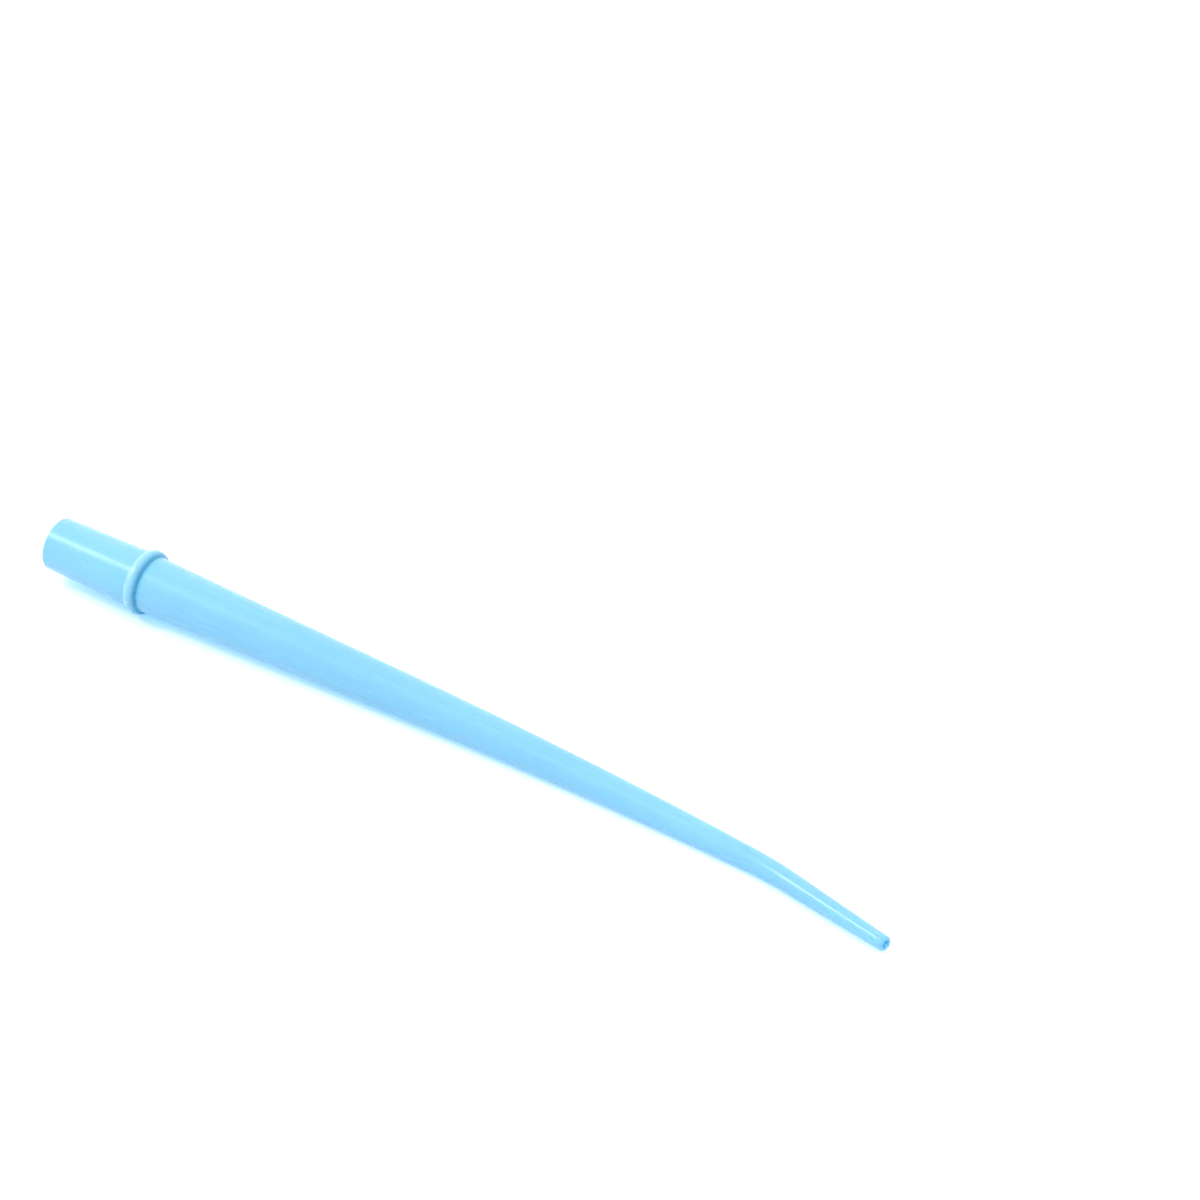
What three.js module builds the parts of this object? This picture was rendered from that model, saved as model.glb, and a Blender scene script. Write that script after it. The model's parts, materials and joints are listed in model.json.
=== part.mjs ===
// Disposable surgical aspirator tip: a one-piece plastic moulding.
//
// An open, slightly tapered connector pushes into a suction valve as far as a half-round
// collar. Behind the collar a long conical barrel, gently bowed towards its end, runs to a
// short bend and a thin nozzle, and one smooth bore runs from the connector's mouth to the
// nozzle's orifice.
//
// Millimetres, +Z up. The tip lies on a flat surface (z = 0) as it settles by itself, with
// the connector's axis along +X, the mouth at -X, and the nozzle bent towards -Y.

import * as THREE from 'three';
import { ConvexHull } from 'three/addons/math/ConvexHull.js';

// ---- Driving dimensions -------------------------------------------------------------

const LENGTH = 202; // along the axis, from the connector's rim to the nozzle's end
const CONNECTOR_LENGTH = 21.9; // from the rim to the middle of the collar

const RIM_OD = 10.8; // outside of the connector at its open end
const CONNECTOR_OD = 11.6; // outside of the connector where it meets the collar
const BARREL_OD = 11.4; // outside of the barrel where it leaves the collar
const KNEE_OD = 4.4; // outside of the tube in the middle of the bend
const NOZZLE_OD = 3; // outside of the tube at the nozzle's end

const RIM_WALL = 0.75; // wall at the connector's mouth
const COLLAR_WALL = 1.2; // wall of the connector where it meets the collar
const KNEE_WALL = 0.8; // wall in the middle of the bend
const ORIFICE = 1.6; // bore at the nozzle's end

const COLLAR_HEIGHT = 0.97; // that the collar's crest stands proud of the tube
const COLLAR_WIDTH = 2.6; // along the axis, at the collar's foot

const BOW_ANGLE = 5; // degrees that the barrel's bow turns it, from its start to the bend
const BOW_LENGTH = 82; // along the axis, from the start of the bow to the bend
const BEND_ANGLE = 8.5; // degrees that the nozzle turns away from the barrel's end
const BEND_LENGTH = 10; // along the axis, from the start of the bend to its end
const NOZZLE_REACH = 26; // straight length from the end of the bend to the nozzle's end

const RIM_EDGE = 0.15; // rounding of the two edges of the rim
const NOZZLE_EDGE = 0.35; // rounding of the nozzle's outer edge

const PLASTIC = { color: 0x8fd8fb, roughness: 0.28, metalness: 0 };

// ---- Fineness of the faceted surface ------------------------------------------------

const SIDES = 40; // flats round the tube, one of them facing down
const STATION_STEP = 12; // longest ring spacing outside the bend
const BEND_STEPS = 8; // rings in the bend, an even number for one at the knee
const COLLAR_STEPS = 10; // chords over the collar's half-round
const EDGE_STEPS = 4; // chords in the rounding of a nozzle or rim edge

// ---- Places along the axis, measured from the rim -----------------------------------

const COLLAR_START = CONNECTOR_LENGTH - COLLAR_WIDTH / 2;
const COLLAR_END = CONNECTOR_LENGTH + COLLAR_WIDTH / 2;
const BEND_END = LENGTH - NOZZLE_REACH;
const BEND_START = BEND_END - BEND_LENGTH;
const BOW_START = BEND_START - BOW_LENGTH;
const KNEE = (BEND_START + BEND_END) / 2;

// The axis as runs, each with the place where it ends and the angle that it turns through.
const AXIS_RUNS = [
  [BOW_START, 0],
  [BEND_START, THREE.MathUtils.degToRad(BOW_ANGLE)],
  [BEND_END, THREE.MathUtils.degToRad(BEND_ANGLE)],
  [LENGTH, 0],
];

// ---- Outside and bore ---------------------------------------------------------------

// Radius at a place on a line of straight cones, given as [place, radius] pairs.
function coneRadius(cones, place) {
  let next = 1;
  while (next < cones.length - 1 && place > cones[next][0]) {
    next += 1;
  }
  const [from, fromRadius] = cones[next - 1];
  const [to, toRadius] = cones[next];
  return THREE.MathUtils.mapLinear(place, from, to, fromRadius, toRadius);
}

const CONNECTOR_CONE = [
  [0, RIM_OD / 2],
  [COLLAR_START, CONNECTOR_OD / 2],
];

const BARREL_CONES = [
  [COLLAR_END, BARREL_OD / 2],
  [KNEE, KNEE_OD / 2],
  [LENGTH, NOZZLE_OD / 2],
];

const BORE_CONES = [
  [0, RIM_OD / 2 - RIM_WALL],
  [COLLAR_START, CONNECTOR_OD / 2 - COLLAR_WALL],
  [KNEE, KNEE_OD / 2 - KNEE_WALL],
  [LENGTH, ORIFICE / 2],
];

// Evenly spaced places between two ends, with both ends included.
function stations(from, to, steps) {
  return Array.from({ length: steps + 1 }, (_, i) => from + ((to - from) * i) / steps);
}

function plainStations(from, to) {
  return stations(from, to, Math.ceil((to - from) / STATION_STEP));
}

// The rings of the tube from one place to another, with finer steps through the bend.
function tubeStations(from, to) {
  return [
    ...plainStations(from, BEND_START).slice(0, -1),
    ...stations(BEND_START, BEND_END, BEND_STEPS),
    ...plainStations(BEND_END, to).slice(1),
  ];
}

// A quarter round between two angles, as profile points (radius, place).
function edgeArc(radius, place, size, fromAngle, toAngle) {
  return stations(fromAngle, toAngle, EDGE_STEPS).map((angle) => {
    return new THREE.Vector2(radius + size * Math.cos(angle), place + size * Math.sin(angle));
  });
}

function rimProfile() {
  const inner = RIM_OD / 2 - RIM_WALL;
  const outer = RIM_OD / 2;
  return [
    ...edgeArc(inner + RIM_EDGE, RIM_EDGE, RIM_EDGE, -Math.PI, -Math.PI / 2),
    ...edgeArc(outer - RIM_EDGE, RIM_EDGE, RIM_EDGE, -Math.PI / 2, 0),
  ];
}

// The collar rises from the tube as half an ellipse.
function collarProfile() {
  return stations(0, Math.PI, COLLAR_STEPS).map((angle) => {
    const place = CONNECTOR_LENGTH - (COLLAR_WIDTH / 2) * Math.cos(angle);
    const foot = THREE.MathUtils.mapLinear(place, COLLAR_START, COLLAR_END,
      CONNECTOR_OD / 2, BARREL_OD / 2);
    return new THREE.Vector2(foot + COLLAR_HEIGHT * Math.sin(angle), place);
  });
}

function nozzleProfile() {
  const outer = NOZZLE_OD / 2;
  return [
    ...edgeArc(outer - NOZZLE_EDGE, LENGTH - NOZZLE_EDGE, NOZZLE_EDGE, 0, Math.PI / 2),
    new THREE.Vector2(ORIFICE / 2, LENGTH),
  ];
}

// The closed outline that is turned about the axis: rim, connector, collar, barrel and
// nozzle on the outside, then the bore back to the rim.
function tubeProfile() {
  const connector = plainStations(0, COLLAR_START).slice(1, -1);
  const barrel = tubeStations(COLLAR_END, LENGTH - NOZZLE_EDGE).slice(1, -1);
  const bore = tubeStations(0, LENGTH).slice(1, -1).reverse();
  const rim = rimProfile();
  return [
    ...rim,
    ...connector.map((place) => new THREE.Vector2(coneRadius(CONNECTOR_CONE, place), place)),
    ...collarProfile(),
    ...barrel.map((place) => new THREE.Vector2(coneRadius(BARREL_CONES, place), place)),
    ...nozzleProfile(),
    ...bore.map((place) => new THREE.Vector2(coneRadius(BORE_CONES, place), place)),
    rim[0].clone(),
  ];
}

// ---- The bent axis ------------------------------------------------------------------

// The axis leaves the mouth along +X and turns towards -Y, one run after another. The
// chord of each run's arc, or of the part of it up to the place, leads to the next point.
function axisAt(place) {
  const axis = { x: 0, y: 0, turn: 0 };
  let start = 0;
  for (const [end, angle] of AXIS_RUNS) {
    const length = Math.min(place, end) - start;
    const turn = (angle * length) / (end - start);
    const chord = turn === 0 ? length : ((2 * length) / turn) * Math.sin(turn / 2);
    axis.x += chord * Math.cos(axis.turn + turn / 2);
    axis.y -= chord * Math.sin(axis.turn + turn / 2);
    axis.turn += turn;
    if (place <= end) {
      break;
    }
    start = end;
  }
  return axis;
}

// LatheGeometry turns the outline about its own Y axis. Each point then moves to its
// place along the bent axis, with its ring kept square to the axis.
function bentTubeGeometry() {
  const geometry = new THREE.LatheGeometry(tubeProfile(), SIDES, Math.PI / SIDES);
  const position = geometry.getAttribute('position');
  for (let i = 0; i < position.count; i += 1) {
    const side = -position.getX(i);
    const axis = axisAt(position.getY(i));
    position.setXYZ(
      i,
      axis.x + side * Math.sin(axis.turn),
      axis.y + side * Math.cos(axis.turn),
      position.getZ(i),
    );
  }
  geometry.computeVertexNormals();
  return geometry;
}

// ---- How the tip lies ---------------------------------------------------------------

// Centre of mass of the closed surface, from the tetrahedra under its triangles.
function centreOfMass(geometry) {
  const position = geometry.getAttribute('position');
  const index = geometry.getIndex();
  const [a, b, c] = [new THREE.Vector3(), new THREE.Vector3(), new THREE.Vector3()];
  const moment = new THREE.Vector3();
  let volume = 0;
  for (let i = 0; i < index.count; i += 3) {
    a.fromBufferAttribute(position, index.getX(i));
    b.fromBufferAttribute(position, index.getX(i + 1));
    c.fromBufferAttribute(position, index.getX(i + 2));
    const part = a.dot(b.clone().cross(c)) / 6;
    moment.addScaledVector(a.add(b).add(c), part / 4);
    volume += part;
  }
  return moment.divideScalar(volume);
}

function hullFaces(geometry) {
  const position = geometry.getAttribute('position');
  const points = Array.from({ length: position.count }, (_, i) => {
    return new THREE.Vector3().fromBufferAttribute(position, i);
  });
  return new ConvexHull().setFromPoints(points).faces.map((face) => {
    const corners = [face.edge, face.edge.next, face.edge.prev].map((edge) => edge.head().point);
    return { normal: face.normal, triangle: new THREE.Triangle(...corners) };
  });
}

// A body stands on a face of its hull when its centre of mass is over that face. The tip
// settles on the one that needs the least turning from the bend lying flat.
function restingTurn(geometry) {
  const centre = centreOfMass(geometry);
  const down = new THREE.Vector3(0, 0, -1);
  const stable = hullFaces(geometry).filter(({ normal, triangle }) => {
    const plane = new THREE.Plane().setFromNormalAndCoplanarPoint(normal, triangle.a);
    return triangle.containsPoint(plane.projectPoint(centre, new THREE.Vector3()));
  });
  stable.sort((one, other) => other.normal.dot(down) - one.normal.dot(down));
  const level = new THREE.Quaternion().setFromUnitVectors(stable[0].normal, down);
  const axis = new THREE.Vector3(1, 0, 0).applyQuaternion(level);
  const square = new THREE.Quaternion().setFromAxisAngle(down, Math.atan2(axis.y, axis.x));
  return square.multiply(level);
}

// ---- The part -----------------------------------------------------------------------

function aspiratorTip() {
  const geometry = bentTubeGeometry();
  const mesh = new THREE.Mesh(geometry, new THREE.MeshStandardMaterial(PLASTIC));
  mesh.name = 'aspirator_tip';
  mesh.quaternion.copy(restingTurn(geometry));
  mesh.updateMatrixWorld();
  const box = new THREE.Box3().setFromObject(mesh, true);
  const centre = box.getCenter(new THREE.Vector3());
  mesh.position.set(-centre.x, -centre.y, -box.min.z);
  return mesh;
}

const part = new THREE.Group();
part.add(aspiratorTip());

export default part;
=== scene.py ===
import json
import math

import bmesh
import bpy
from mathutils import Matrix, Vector, noise


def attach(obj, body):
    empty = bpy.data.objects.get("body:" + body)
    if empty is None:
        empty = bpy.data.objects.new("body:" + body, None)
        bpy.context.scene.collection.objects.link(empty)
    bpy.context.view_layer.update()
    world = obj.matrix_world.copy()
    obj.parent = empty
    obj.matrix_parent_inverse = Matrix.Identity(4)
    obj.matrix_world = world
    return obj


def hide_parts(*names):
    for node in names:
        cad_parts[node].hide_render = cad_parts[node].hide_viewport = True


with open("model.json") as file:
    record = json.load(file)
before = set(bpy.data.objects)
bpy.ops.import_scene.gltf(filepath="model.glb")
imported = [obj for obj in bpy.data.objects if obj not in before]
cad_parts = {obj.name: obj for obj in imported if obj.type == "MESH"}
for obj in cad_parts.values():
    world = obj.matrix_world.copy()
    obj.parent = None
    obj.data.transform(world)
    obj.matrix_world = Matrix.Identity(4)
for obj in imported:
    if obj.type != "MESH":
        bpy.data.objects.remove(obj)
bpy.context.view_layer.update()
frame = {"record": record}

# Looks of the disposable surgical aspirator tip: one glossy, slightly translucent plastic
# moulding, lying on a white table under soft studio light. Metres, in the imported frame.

MM = 0.001
PIECE = "aspirator_tip_moulding"

# ---- The tip's sizes, in millimetres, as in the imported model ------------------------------

LENGTH = 202.0  # along the axis
CONNECTOR_LENGTH = 21.9  # from the rim to the middle of the collar
RIM_RADIUS = 5.4
CONNECTOR_RADIUS = 5.8  # of the connector where it meets the collar
BARREL_RADIUS = 5.7  # of the barrel where it leaves the collar
KNEE_RADIUS = 2.2  # in the middle of the bend
NOZZLE_RADIUS = 1.5
RIM_WALL = 0.75
COLLAR_WALL = 1.2
KNEE_WALL = 0.8
ORIFICE_RADIUS = 0.8
COLLAR_HEIGHT = 0.97
COLLAR_WIDTH = 2.6
BOW_ANGLE = math.radians(5)  # that the barrel turns through before the bend
BOW_LENGTH = 82.0
BEND_ANGLE = math.radians(8.5)
BEND_LENGTH = 10.0
NOZZLE_REACH = 26.0  # straight length beyond the bend

COLLAR_START = CONNECTOR_LENGTH - COLLAR_WIDTH / 2
COLLAR_END = CONNECTOR_LENGTH + COLLAR_WIDTH / 2
BEND_END = LENGTH - NOZZLE_REACH
BEND_START = BEND_END - BEND_LENGTH
BOW_START = BEND_START - BOW_LENGTH
KNEE = (BEND_START + BEND_END) / 2
# The axis as runs, each with the place where it ends and the angle that it turns through.
AXIS_RUNS = [
    (BOW_START, 0), (BEND_START, BOW_ANGLE), (BEND_END, BEND_ANGLE), (LENGTH, 0),
]

MOUNT_HEIGHT = 5.0  # of the connector's mount above the axis, in the middle of the wall
PACKED_SIDES = 40
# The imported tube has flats, and the round one here touches them from inside.
ROUND = math.cos(math.pi / PACKED_SIDES)

# ---- Finer detail, in millimetres ---------------------------------------------------------

RIM_EDGE = 0.15  # rounding of the rim's two edges
NOZZLE_EDGE = 0.45  # rounding of the nozzle's outer edge, 0.1 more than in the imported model
ORIFICE_EDGE = 0.12  # rounding of the orifice's edge
FRONT_FILLET = 0.18  # between the connector and the collar
BACK_FILLET = 0.42  # between the collar and the barrel

BURR_DEPTH = 0.09  # of the cut rim's unevenness
BURR_REACH = 2 * RIM_EDGE  # from the rim, where the burr has faded away
COARSE_BURR = 3.1  # how often the burr changes round the rim
FINE_BURR = 11
WAVE_DEPTH = 0.016  # of the shallow sink waves in the moulded wall
SLOW_WAVE = 17  # length along the tube
FAST_WAVE = 5
SLOW_TURN = 0.7  # how often a wave changes round the tube
FAST_TURN = 1.3
PARTING_HEIGHT = 0.018  # of the mould's parting line
PARTING_WIDTH = 0.16
PARTING_FADE = 2  # over which it fades out at the ends and the collar

CREST_SHADE = 0.55  # width of the painted crease shade, towards the collar's crest
BARREL_SHADE = 0.35  # and towards the barrel
COLLAR_FRONT = CONNECTOR_LENGTH - 0.4  # middle of the collar's front, where a highlight is painted
HIGHLIGHT_WIDTH = 0.9
HIGHLIGHT_PALENESS = 0.45  # of the painted highlight, as a share of the rim's paleness

SIDES = 192
RING_STEP = 1.2  # between rings on a plain stretch
ARC_STEPS = 8  # in an edge's rounding
COLLAR_STEPS = 28


# ---- Camera ------------------------------------------------------------------------------

CAMERA_ELEVATION = math.radians(35)
CAMERA_AZIMUTH = math.radians(34.43)
CAMERA_DISTANCE = 1.4571
CAMERA_TARGET = Vector((-0.00738, 0.05599, 0.0))
CAMERA_CLIP_END = 20
LENS = 222
SENSOR = 36


def look_at(thing, place, target):
    """Put a camera or light at a place, facing a target, with its top upwards."""
    thing.location = place
    thing.rotation_euler = (target - place).to_track_quat("-Z", "Y").to_euler()


def add_camera():
    camera = bpy.data.objects.new("camera", bpy.data.cameras.new("camera"))
    bpy.context.collection.objects.link(camera)
    camera.data.lens = LENS
    camera.data.sensor_width = SENSOR
    camera.data.clip_end = CAMERA_CLIP_END
    sight = Vector((
        -math.sin(CAMERA_AZIMUTH) * math.cos(CAMERA_ELEVATION),
        math.cos(CAMERA_AZIMUTH) * math.cos(CAMERA_ELEVATION),
        -math.sin(CAMERA_ELEVATION),
    ))
    look_at(camera, CAMERA_TARGET - sight * CAMERA_DISTANCE, CAMERA_TARGET)
    bpy.context.scene.camera = camera


add_camera()


# ---- The tip's profile -------------------------------------------------------------------

def line(start, end, value):
    """Value between two (place, radius) points."""
    share = (value - start[0]) / (end[0] - start[0])
    return start[1] + (end[1] - start[1]) * share


def along(cones, place):
    """Radius at a place on a line of straight cones."""
    for start, end in zip(cones, cones[1:]):
        if place <= end[0]:
            return line(start, end, place)
    return line(cones[-2], cones[-1], place)


CONNECTOR = [(0, RIM_RADIUS), (COLLAR_START, CONNECTOR_RADIUS)]
BARREL = [(COLLAR_END, BARREL_RADIUS), (KNEE, KNEE_RADIUS), (LENGTH, NOZZLE_RADIUS)]
BORE = [
    (0, RIM_RADIUS - RIM_WALL),
    (COLLAR_START, CONNECTOR_RADIUS - COLLAR_WALL),
    (KNEE, KNEE_RADIUS - KNEE_WALL),
    (LENGTH, ORIFICE_RADIUS),
]


def steps(start, end, count):
    """Evenly spaced values, with both ends included."""
    return [start + (end - start) * i / count for i in range(count + 1)]


def stretch(cones, start, end):
    """Points of a plain stretch, ring by ring."""
    count = math.ceil((end - start) / RING_STEP)
    return [(place, along(cones, place)) for place in steps(start, end, count)]


def arc(place, radius, size, start, end):
    """Points of a round edge; angle 0 faces outwards and 90 degrees faces the nozzle."""
    return [
        (place + size * math.sin(angle), radius + size * math.cos(angle))
        for angle in steps(math.radians(start), math.radians(end), ARC_STEPS)
    ]


def fillet(start, corner, end):
    """Points of a smooth curve that replaces a sharp corner."""
    points = []
    for t in steps(0, 1, ARC_STEPS):
        a, b, c = (1 - t) ** 2, 2 * t * (1 - t), t**2
        points.append(tuple(
            a * start[i] + b * corner[i] + c * end[i] for i in range(2)
        ))
    return points


def collar():
    """The half-round collar, with a fillet at each side of its foot."""
    def at(angle):
        place = CONNECTOR_LENGTH - COLLAR_WIDTH / 2 * math.cos(angle)
        foot = line((COLLAR_START, CONNECTOR_RADIUS), (COLLAR_END, BARREL_RADIUS), place)
        return place, foot + COLLAR_HEIGHT * math.sin(angle)

    front = math.asin(FRONT_FILLET / COLLAR_HEIGHT)
    back = math.pi - math.asin(BACK_FILLET / COLLAR_HEIGHT)
    before, after = COLLAR_START - FRONT_FILLET, COLLAR_END + BACK_FILLET
    crown = [at(angle) for angle in steps(front, back, COLLAR_STEPS)]
    return (
        fillet((before, along(CONNECTOR, before)), at(0), crown[0])
        + crown[1:-1]
        + fillet(crown[-1], at(math.pi), (after, along(BARREL, after)))
    )


def profile():
    """The closed outline, from the rim over the outside to the nozzle and back by the bore."""
    mouth_radius = RIM_RADIUS - RIM_WALL
    rim = (
        arc(RIM_EDGE, mouth_radius + RIM_EDGE, RIM_EDGE, -180, -90)
        + arc(RIM_EDGE, RIM_RADIUS - RIM_EDGE, RIM_EDGE, -90, 0)
    )
    gap = RING_STEP / 2
    connector = stretch(CONNECTOR, RIM_EDGE * 2, COLLAR_START - FRONT_FILLET - gap)
    barrel = stretch(BARREL, COLLAR_END + BACK_FILLET + gap, LENGTH - NOZZLE_EDGE)
    tip = (
        arc(LENGTH - NOZZLE_EDGE, NOZZLE_RADIUS - NOZZLE_EDGE, NOZZLE_EDGE, 0, 90)[1:]
        + arc(LENGTH - ORIFICE_EDGE, ORIFICE_RADIUS + ORIFICE_EDGE, ORIFICE_EDGE, 90, 180)
    )
    bore = stretch(BORE, RIM_EDGE * 2, LENGTH - ORIFICE_EDGE * 2)[::-1]
    return rim + connector + collar() + barrel + tip + bore


# ---- From the profile to the bent tube ---------------------------------------------------

def rest_pose():
    """The mouth's centre and the tip's three directions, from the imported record's mounts.

    Ahead runs along the connector, sideways points away from the side that the nozzle turns
    to, and upwards is square to the plane of the bend.
    """
    mounts = {mount["name"]: mount for mount in frame["record"]["mounts"]}
    ahead = -Vector(mounts["connector_end"]["axis"])
    end = Vector(mounts["nozzle_end"]["axis"])
    upwards = end.cross(ahead).normalized()
    sideways = upwards.cross(ahead)
    mouth = Vector(mounts["connector_end"]["pos_m"]) - upwards * MOUNT_HEIGHT * MM
    return mouth, ahead, sideways, upwards


MOUTH, AHEAD, SIDEWAYS, UPWARDS = rest_pose()


def ring_frame(place):
    """Centre and outward side direction of the ring at a place on the bent axis."""
    x = y = turned = start = 0
    for end, angle in AXIS_RUNS:
        length = min(place, end) - start
        turn = angle * length / (end - start)
        chord = 2 * length / turn * math.sin(turn / 2) if turn else length
        x += chord * math.cos(turned + turn / 2)
        y -= chord * math.sin(turned + turn / 2)
        turned += turn
        start = end
        if place <= end:
            break
    centre = MOUTH + (AHEAD * x + SIDEWAYS * y) * MM
    side = SIDEWAYS * math.cos(turned) + AHEAD * math.sin(turned)
    return centre, side


def bell(value, width):
    """1 at zero, falling smoothly away on both sides."""
    return math.exp(-((value / width) ** 2))


def unevenness(place, radius, angle, outside):
    """What the moulding adds to a point's place and radius, in millimetres."""
    ring = Vector((math.cos(angle), math.sin(angle), 0))
    shift = 0
    if place < BURR_REACH:
        coarse, fine = noise.noise(ring * COARSE_BURR), noise.noise(ring * FINE_BURR)
        rough = 0.5 + 0.5 * coarse + 0.3 * fine
        shift = BURR_DEPTH * max(rough, 0) * (1 - place / BURR_REACH)
    swell = 0
    if outside:
        slow = noise.noise(Vector((place / SLOW_WAVE, 0, 0)) + ring * SLOW_TURN)
        fast = noise.noise(Vector((place / FAST_WAVE, 9, 0)) + ring * FAST_TURN)
        # The shares keep the sum between 0 and 1, so the waves only sink in.
        swell = -WAVE_DEPTH * (0.5 + 0.35 * slow + 0.15 * fast)
        clear = min(place, LENGTH - place, abs(place - CONNECTOR_LENGTH) - COLLAR_WIDTH)
        fade = min(max(clear / PARTING_FADE, 0), 1)
        across = math.sin(angle) * radius
        swell += PARTING_HEIGHT * bell(across, PARTING_WIDTH) * fade
    return shift, swell


def painted_crease_shade(place):
    """Painted shade: how much darker the colour is made in the crease at the foot of the
    collar's barrel side.
    """
    back = place - (COLLAR_END + BACK_FILLET / 4)
    return bell(back, CREST_SHADE if back < 0 else BARREL_SHADE)


def rim_paleness_and_highlight(place):
    """How much paler the rim is made, and the painted highlight on the collar's front."""
    # A highlight painted on the collar's front as a paler colour.
    painted_highlight = HIGHLIGHT_PALENESS * bell(place - COLLAR_FRONT, HIGHLIGHT_WIDTH)
    return max(bell(place, RIM_EDGE), painted_highlight)


def build_tip():
    """The whole moulding as one closed mesh, ring by ring along its outline."""
    outline = profile()
    nose = max(range(len(outline)), key=lambda i: outline[i][0])
    mesh = bpy.data.meshes.new(PIECE)
    form = bmesh.new()
    crease_shade = form.verts.layers.float.new("crease_shade")
    pale_rim_and_highlight = form.verts.layers.float.new("pale_rim_and_highlight")
    rings = []
    for i, (place, radius) in enumerate(outline):
        ring = []
        for j in range(SIDES):
            angle = 2 * math.pi * j / SIDES
            shift, swell = unevenness(place, radius, angle, outside=i < nose)
            centre, side = ring_frame(place + shift)
            out = side * math.cos(angle) + UPWARDS * math.sin(angle)
            point = form.verts.new(centre + out * (radius + swell) * ROUND * MM)
            # Painted shade in the crease at the collar's foot, on the outside only.
            point[crease_shade] = painted_crease_shade(place) if i < nose else 0
            # A paler rim, with a painted highlight on the collar's front outside.
            point[pale_rim_and_highlight] = rim_paleness_and_highlight(place) if i < nose else bell(place, RIM_EDGE)
            ring.append(point)
        rings.append(ring)
    for ring, following in zip(rings, rings[1:] + rings[:1]):
        for j in range(SIDES):
            k = (j + 1) % SIDES
            form.faces.new((ring[j], following[j], following[k], ring[k]))
    bmesh.ops.recalc_face_normals(form, faces=form.faces)
    form.to_mesh(mesh)
    form.free()
    mesh.polygons.foreach_set("use_smooth", [True] * len(mesh.polygons))
    moulding = bpy.data.objects.new(PIECE, mesh)
    bpy.context.collection.objects.link(moulding)
    return moulding


# ---- Materials ---------------------------------------------------------------------------

PLASTIC_COLOURS = [  # along the colour clouds
    (0.30, (0.133, 0.360, 0.530)),
    (0.50, (0.142, 0.378, 0.550)),
    (0.72, (0.151, 0.396, 0.570)),
]
SPECK_COLOUR = (0.05, 0.22, 0.40)
# Painted shade for the crease at the collar's foot.
CREASE_SHADE_COLOUR = (0.018, 0.240, 0.410)
# A paler colour for the rim and for the highlight painted on the collar's front.
PALE_RIM_AND_HIGHLIGHT_COLOUR = (0.300, 0.490, 0.570)
GLOW_TINT = (0.45, 0.73, 0.86, 1)
TABLE_COLOURS = [(0.3, (0.77, 0.775, 0.785)), (0.7, (0.80, 0.803, 0.81))]

# Pattern scales, in repeats per metre.
CLOUD_SCALE = 60
FLOW_SCALE = 420
GRAIN_SCALE = 2600
SPECK_SCALE = 190
MOTTLE_SCALE = 9

# Bumps, as strength and height in metres.
FLOW_BUMP = (0.04, 0.00004)
GRAIN_BUMP = (0.12, 0.00001)

PLASTIC_ROUGHNESS = (0.25, 0.29)  # between the flow lines and on them
PLASTIC_IOR = 1.49
SCATTER_DEPTH = 0.0006  # in metres
SCATTER_RADIUS = (0.6, 0.9, 1.0)  # of red, green and blue light, as shares of that depth


class Nodes:
    """A material's node tree, with short calls for its nodes and links."""

    def __init__(self, name):
        self.material = bpy.data.materials.new(name)
        self.material.use_nodes = True
        self.tree = self.material.node_tree
        self.shader = self.tree.nodes["Principled BSDF"]

    def add(self, kind, inputs=(), **settings):
        node = self.tree.nodes.new(kind)
        for name, value in settings.items():
            setattr(node, name, value)
        for name, value in dict(inputs).items():
            if isinstance(value, bpy.types.NodeSocket):
                self.tree.links.new(value, node.inputs[name])
            else:
                node.inputs[name].default_value = value
        return node

    def noise(self, where, scale, detail, stretched=(1, 1, 1)):
        """Soft noise; a small number in stretched makes it longer in that direction."""
        mapping = self.add("ShaderNodeMapping", {"Vector": where, "Scale": stretched})
        return self.add("ShaderNodeTexNoise", {
            "Vector": mapping.outputs["Vector"], "Scale": scale, "Detail": detail,
        }).outputs["Fac"]

    def span(self, value, low, high, to_low, to_high):
        """A value moved from one range to another."""
        return self.add("ShaderNodeMapRange", {
            "Value": value, "From Min": low, "From Max": high,
            "To Min": to_low, "To Max": to_high,
        }).outputs["Result"]

    def ramp(self, value, stops):
        node = self.add("ShaderNodeValToRGB", {"Fac": value})
        elements = node.color_ramp.elements
        while len(elements) < len(stops):
            elements.new(0.5)
        for element, (position, colour) in zip(elements, stops):
            element.position = position
            element.color = (*colour, 1)
        return node.outputs["Color"]

    def bump(self, height, strength, distance, under=None):
        inputs = {"Height": height, "Strength": strength, "Distance": distance}
        if under is not None:
            inputs["Normal"] = under
        return self.add("ShaderNodeBump", inputs).outputs["Normal"]

    def mix(self, share, first, second):
        """First colour, turning into the second one as the share goes from 0 to 1."""
        return self.add(
            "ShaderNodeMix", {"Factor": share, "A": first, "B": (*second, 1)},
            data_type="RGBA",
        ).outputs["Result"]

    def painted(self, name):
        """A value that build_tip() gives to every point of the mesh."""
        return self.add("ShaderNodeAttribute", attribute_name=name).outputs["Fac"]

    def let_light_through(self, tint):
        """Light that goes on through the wall reaches the table tinted, as a soft glow."""
        path = self.add("ShaderNodeLightPath")
        clear = self.add("ShaderNodeBsdfTransparent", {"Color": tint})
        result = self.shader.outputs["BSDF"]
        for ray in ("Is Diffuse Ray", "Is Shadow Ray"):
            result = self.add("ShaderNodeMixShader", {
                0: path.outputs[ray], 1: result, 2: clear.outputs["BSDF"],
            }).outputs["Shader"]
        self.tree.links.new(result, self.tree.nodes["Material Output"].inputs["Surface"])

    def shade(self, **sockets):
        for name, value in sockets.items():
            socket = self.shader.inputs[name.replace("_", " ")]
            if isinstance(value, bpy.types.NodeSocket):
                self.tree.links.new(value, socket)
            else:
                socket.default_value = value


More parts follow.
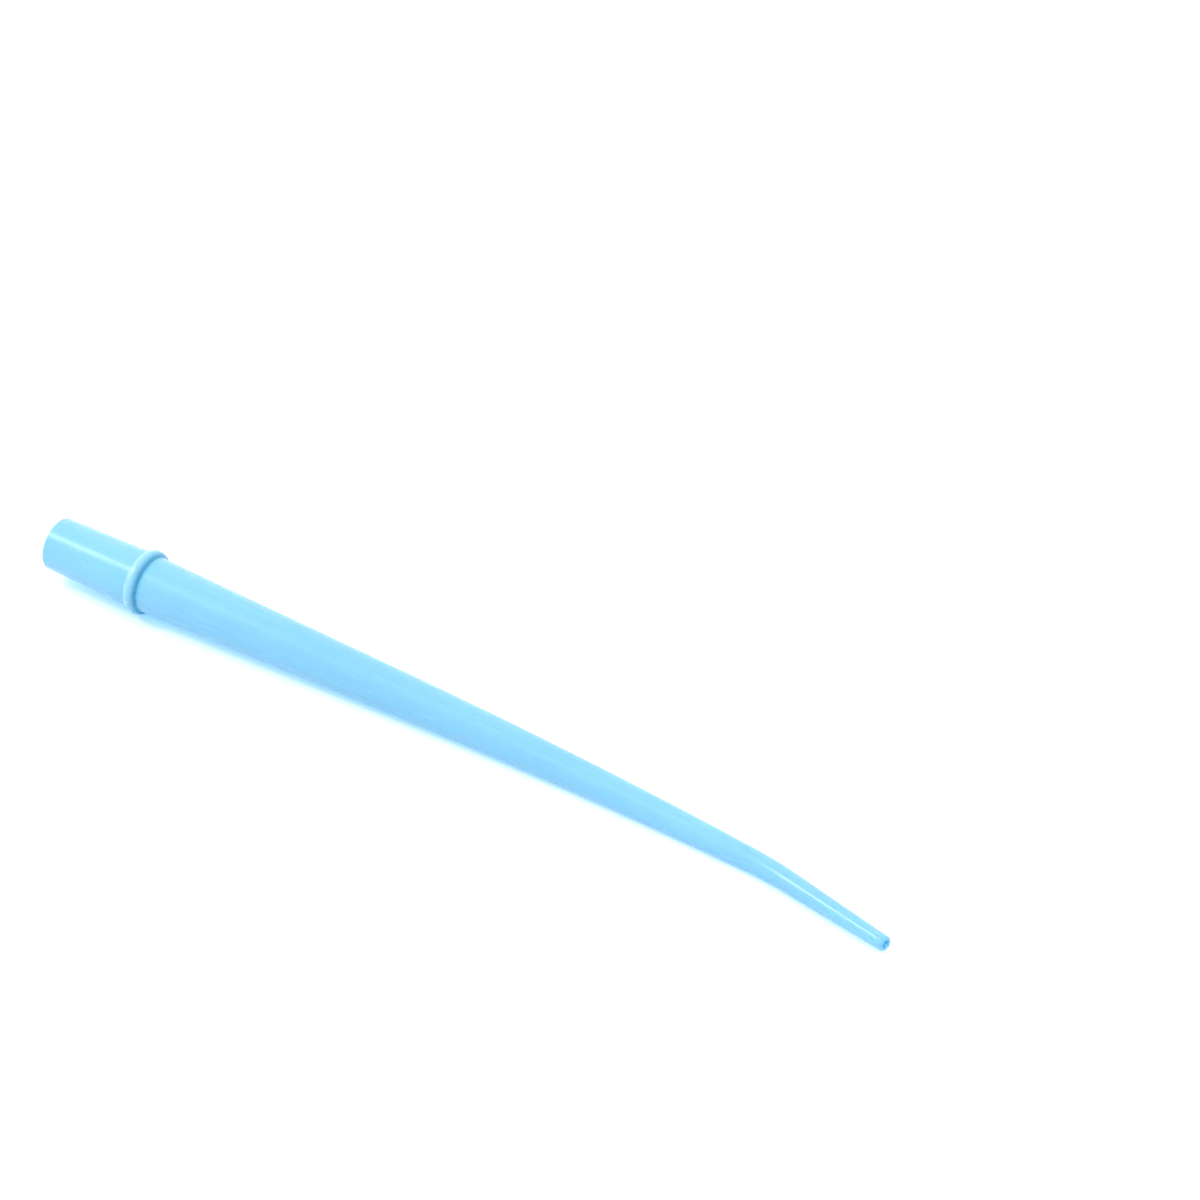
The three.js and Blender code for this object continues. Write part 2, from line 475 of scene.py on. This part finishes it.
def blue_plastic():
    """Pigmented polypropylene: flow clouds in the colour, a few specks, faint flow lines,
    painted shade in the collar's crease and a painted highlight on its front.
    """
    nodes = Nodes("blue_polypropylene")
    where = nodes.add("ShaderNodeTexCoord").outputs["Object"]

    clouds = nodes.noise(where, CLOUD_SCALE, 4, stretched=(0.5, 1, 1))
    flow = nodes.noise(where, FLOW_SCALE, 3, stretched=(0.05, 1, 1))
    grain = nodes.noise(where, GRAIN_SCALE, 2)

    # A speck is the middle of a cell, in the few cells that are chosen by their random colour.
    cells = nodes.add("ShaderNodeTexVoronoi", {"Vector": where, "Scale": SPECK_SCALE})
    speck = nodes.span(cells.outputs["Distance"], 0.035, 0.05, 1, 0)
    chosen = nodes.span(cells.outputs["Color"], 0.62, 0.64, 0, 1)
    mask = nodes.add("ShaderNodeMath", {0: speck, 1: chosen}, operation="MULTIPLY")
    colour = nodes.ramp(clouds, PLASTIC_COLOURS)
    colour = nodes.mix(mask.outputs[0], colour, SPECK_COLOUR)
    # Painted shade in the crease at the collar's foot.
    colour = nodes.mix(nodes.painted("crease_shade"), colour, CREASE_SHADE_COLOUR)
    # A paler rim, and a painted highlight on the collar's front.
    colour = nodes.mix(nodes.painted("pale_rim_and_highlight"), colour, PALE_RIM_AND_HIGHLIGHT_COLOUR)

    surface = nodes.bump(flow, *FLOW_BUMP)
    surface = nodes.bump(grain, *GRAIN_BUMP, under=surface)

    nodes.shade(
        Base_Color=colour,
        Roughness=nodes.span(flow, 0.3, 0.7, *PLASTIC_ROUGHNESS),
        Normal=surface,
        IOR=PLASTIC_IOR,
        Subsurface_Weight=1.0,
        Subsurface_Scale=SCATTER_DEPTH,
        Subsurface_Radius=SCATTER_RADIUS,
    )
    nodes.let_light_through(GLOW_TINT)
    return nodes.material


def white_table():
    """A matt white work surface with the faintest mottling."""
    nodes = Nodes("white_table")
    where = nodes.add("ShaderNodeTexCoord").outputs["Object"]
    paint = nodes.ramp(nodes.noise(where, MOTTLE_SCALE, 3), TABLE_COLOURS)
    nodes.shade(Base_Color=paint, Roughness=0.6, Specular_IOR_Level=0.2)
    return nodes.material


# ---- Studio ------------------------------------------------------------------------------

TABLE_RADIUS = 6.0
KEY_DIRECTION = (-0.69, -0.305, 0.66)  # from the middle of the scene
KEY_DISTANCE = 1.3
KEY_SIZE = 0.28
KEY_POWER = 8
HORIZON_COLOUR = (0.9, 0.92, 0.95, 1)
ZENITH_COLOUR = (1.0, 1.0, 1.0, 1)
ZENITH_START = 0.75  # height on the sky's unit sphere from which it is all zenith colour
SKY_STRENGTH = 1.8


def add_table():
    """A round white surface at the height that the tip lies on."""
    mesh = bpy.data.meshes.new("table")
    form = bmesh.new()
    bmesh.ops.create_circle(form, cap_ends=True, segments=96, radius=TABLE_RADIUS)
    form.to_mesh(mesh)
    form.free()
    table = bpy.data.objects.new("table", mesh)
    bpy.context.collection.objects.link(table)
    table.data.materials.append(white_table())


def add_key_light():
    """A small softbox that puts the bright streak on the connector and the nozzle."""
    light = bpy.data.objects.new("key", bpy.data.lights.new("key", "AREA"))
    bpy.context.collection.objects.link(light)
    light.data.size = KEY_SIZE
    light.data.energy = KEY_POWER
    look_at(light, Vector(KEY_DIRECTION).normalized() * KEY_DISTANCE, Vector((0, 0, 0)))


def add_sky():
    """Even white light from all round, brighter overhead than at the horizon."""
    world = bpy.data.worlds.new("studio")
    bpy.context.scene.world = world
    world.use_nodes = True
    tree = world.node_tree
    place = tree.nodes.new("ShaderNodeTexCoord")
    split = tree.nodes.new("ShaderNodeSeparateXYZ")
    ramp = tree.nodes.new("ShaderNodeValToRGB")
    horizon, zenith = ramp.color_ramp.elements
    horizon.position = 0.0
    horizon.color = HORIZON_COLOUR
    zenith.position = ZENITH_START
    zenith.color = ZENITH_COLOUR
    tree.links.new(place.outputs["Generated"], split.inputs["Vector"])
    tree.links.new(split.outputs["Z"], ramp.inputs["Fac"])
    background = tree.nodes["Background"]
    tree.links.new(ramp.outputs["Color"], background.inputs["Color"])
    background.inputs["Strength"].default_value = SKY_STRENGTH


# ---- Making it ---------------------------------------------------------------------------

tip = build_tip()
tip.data.materials.append(blue_plastic())
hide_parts("aspirator_tip")
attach(tip, "root")

add_table()
add_sky()
add_key_light()

bpy.context.scene.view_settings.view_transform = "Standard"
